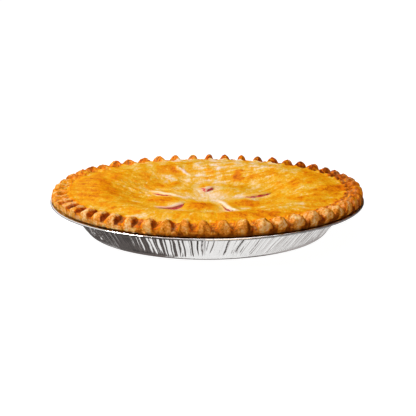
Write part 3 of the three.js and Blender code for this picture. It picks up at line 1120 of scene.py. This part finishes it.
def fillingFinish():
    graph = Graph("stewedFruit", {"Roughness": 0.3, "Specular IOR Level": 0.15})
    lumps = graph.noise(260, 3, 0.6)
    graph.feed("Base Color", graph.ramp(lumps, [
        (0.3, (0.36, 0.012, 0.014)),
        (0.5, (0.56, 0.03, 0.03)),
        (0.7, (0.74, 0.13, 0.10)),
    ]))
    graph.feed("Normal", graph.bump(lumps, 0.001, 0.6))
    return graph.material


# Pieces

panPiece = makeFoilPan()
paintSeamShade(panPiece)
finishPiece(panPiece, "foil_pan", foilFinish(), 40)
print("foil pan made")

crustPiece = makeCrust()
bakeAndPaintedLightMasks(crustPiece)
finishPiece(crustPiece, "pastry_crust", crustFinish(), 50)
print("crust made:", len(crustPiece.data.polygons), "faces")

fillingPiece = makeFilling()
finishPiece(fillingPiece, "fruit_filling", fillingFinish(), 60)
print("filling made")


# Studio

studio = {
    # the camera, in degrees, metres and millimetres of lens
    "elevation": 14.4,
    "distance": 1.1484,
    "aim": (0.0006, 0, 0.0147),
    "lens": 133.7,
    "floorRadius": 3.0,
    "floorCurve": 0.5,
    "wallHeight": 3,
    "worldLight": 0.13,
    "worldColour": (1, 0.84, 0.79, 1),
    # soft lamps
    "lamps": {
        "key": {"from": (-1.2, -0.45, 1.1), "size": 0.45, "watts": 24, "colour": (1, 1, 1)},
        "top": {"from": (0.1, 0.1, 1.6), "size": 1.1, "watts": 8, "colour": (1, 1, 1)},
        "front": {"from": (0.5, -1.7, 0.6), "size": 1.0, "watts": 6, "colour": (1, 0.78, 0.52)},
    },
    # cards that only reflections show: the middle, half the width and half the depth or height, the
    # axis that the card faces, the least and most brightness, and how often that changes in a metre
    "cards": {
        "underFront": ((0.05, -2.1, -1), (0.32, 2.4), "Z", (0.8, 1.0), 4),
        "nearRight": ((1.2, -0.35, -1), (0.83, 0.7), "Z", (0.65, 0.95), 5),
        "underRight": ((2.4, 4.35, -1), (2.03, 4), "Z", (0.3, 0.5), 4),
        "underLeft": ((-2.4, 3.5, -1), (1.9, 4.5), "Z", (0.02, 0.17), 5),
        "glint": ((-0.66, 1.08, -0.99), (0.15, 0.13), "Z", (0.5, 0.8), 5),
        "above": ((0, -0.6, 1.7), (1.2, 0.9), "Z", (0.75, 0.9), 2),
        "behind": ((0.95, 2.4, 0.7), (1.25, 0.75), "Y", (0.0, 0.02), 2),
        "behindLeft": ((-1.5, 2.4, 0.7), (1.2, 0.75), "Y", (0.7, 0.9), 2),
        "behindHigh": ((0, 2.4, 2.5), (1.2, 0.8), "Y", (1.8, 2.2), 2),
        "left": ((-2.5, 1.0, 0.45), (2.4, 1.7), "X", (0.7, 0.95), 3),
    },
}


def addLight(name, settings):
    light = bpy.data.lights.new(name, "AREA")
    light.energy = settings["watts"]
    light.size = settings["size"]
    light.color = settings["colour"]
    lamp = bpy.data.objects.new(name, light)
    lamp.location = settings["from"]
    lamp.rotation_euler = (-Vector(settings["from"])).to_track_quat("-Z", "Y").to_euler()
    scene.collection.objects.link(lamp)


def stagePiece(name, points, faces, graph, seenBy):
    # part of the studio, shown only to some kinds of ray
    piece = makeMesh(name, np.asarray(points) / mm, faces)
    piece.data.materials.append(graph.material)
    for ray in ("camera", "diffuse", "glossy", "transmission", "volume_scatter", "shadow"):
        setattr(piece, "visible_" + ray, ray in seenBy)


def dullFinish(name, grey, glow=0):
    # a studio surface with no shine: its grey, and how brightly it glows by itself
    return Graph(name, {
        "Base Color": (grey, grey, grey, 1),
        "Roughness": 1.0,
        "Specular IOR Level": 0.0,
        "Emission Color": (1, 1, 1, 1),
        "Emission Strength": glow,
    })


def addCove():
    # a white floor that curves up into a white wall all round, and a plain table that bounces light
    bends = np.linspace(0, math.pi / 2, 9)
    reach, curve = studio["floorRadius"], studio["floorCurve"]
    radii = np.concatenate([[0.001, 0.2, 0.6, 1.2], reach - curve + curve * np.sin(bends), [reach]])
    heights = np.concatenate([[0, 0, 0, 0], curve - curve * np.cos(bends), [studio["wallHeight"]]])
    rings = [evenRing(96, radius, height) for radius, height in zip(radii, heights)]
    stagePiece("cove", *skin(rings), dullFinish("cove", 0.3, 0.97), ("camera",))
    rings = [evenRing(96, radius, 0) for radius in (0.001, reach)]
    stagePiece("table", *skin(rings), dullFinish("table", 0.6), ("diffuse",))


def addCard(name, middle, half, facing, shade, changes):
    # a flat card square to the axis that it faces, with uneven brightness
    sides = [axis for axis in range(3) if axis != "XYZ".index(facing)]
    points = np.tile(np.array(middle, float), (4, 1))
    for side, reach, signs in zip(sides, half, ((-1, 1, 1, -1), (-1, -1, 1, 1))):
        points[:, side] += reach * np.array(signs)
    graph = dullFinish(name, 0, 1.0)
    least, most = shade
    warm = 1 - most
    stops = [(0.35, (least, least * (1 - 0.12 * warm), least * (1 - 0.16 * warm))),
             (0.65, (most, most * (1 - 0.14 * warm), most * (1 - 0.18 * warm)))]
    graph.feed("Emission Color", graph.ramp(graph.noise(changes, 2, 0.5), stops))
    stagePiece(name, points, [(0, 1, 2, 3)], graph, ("glossy",))


def addCamera():
    camera = bpy.data.objects.new("camera", bpy.data.cameras.new("camera"))
    rise = math.radians(studio["elevation"])
    back = Vector((0, -math.cos(rise), math.sin(rise)))
    camera.location = Vector(studio["aim"]) + back * studio["distance"]
    camera.rotation_euler = (-back).to_track_quat("-Z", "Y").to_euler()
    camera.data.lens = studio["lens"]
    camera.data.sensor_width = 36
    scene.collection.objects.link(camera)
    scene.camera = camera


addCove()
for name, card in studio["cards"].items():
    addCard(name, *card)
for name, settings in studio["lamps"].items():
    addLight(name, settings)
addCamera()
world = bpy.data.worlds.new("studio")
world.use_nodes = True
background = world.node_tree.nodes["Background"].inputs
background["Color"].default_value = studio["worldColour"]
background["Strength"].default_value = studio["worldLight"]
scene.world = world
scene.view_settings.view_transform = "Standard"
print("studio set")
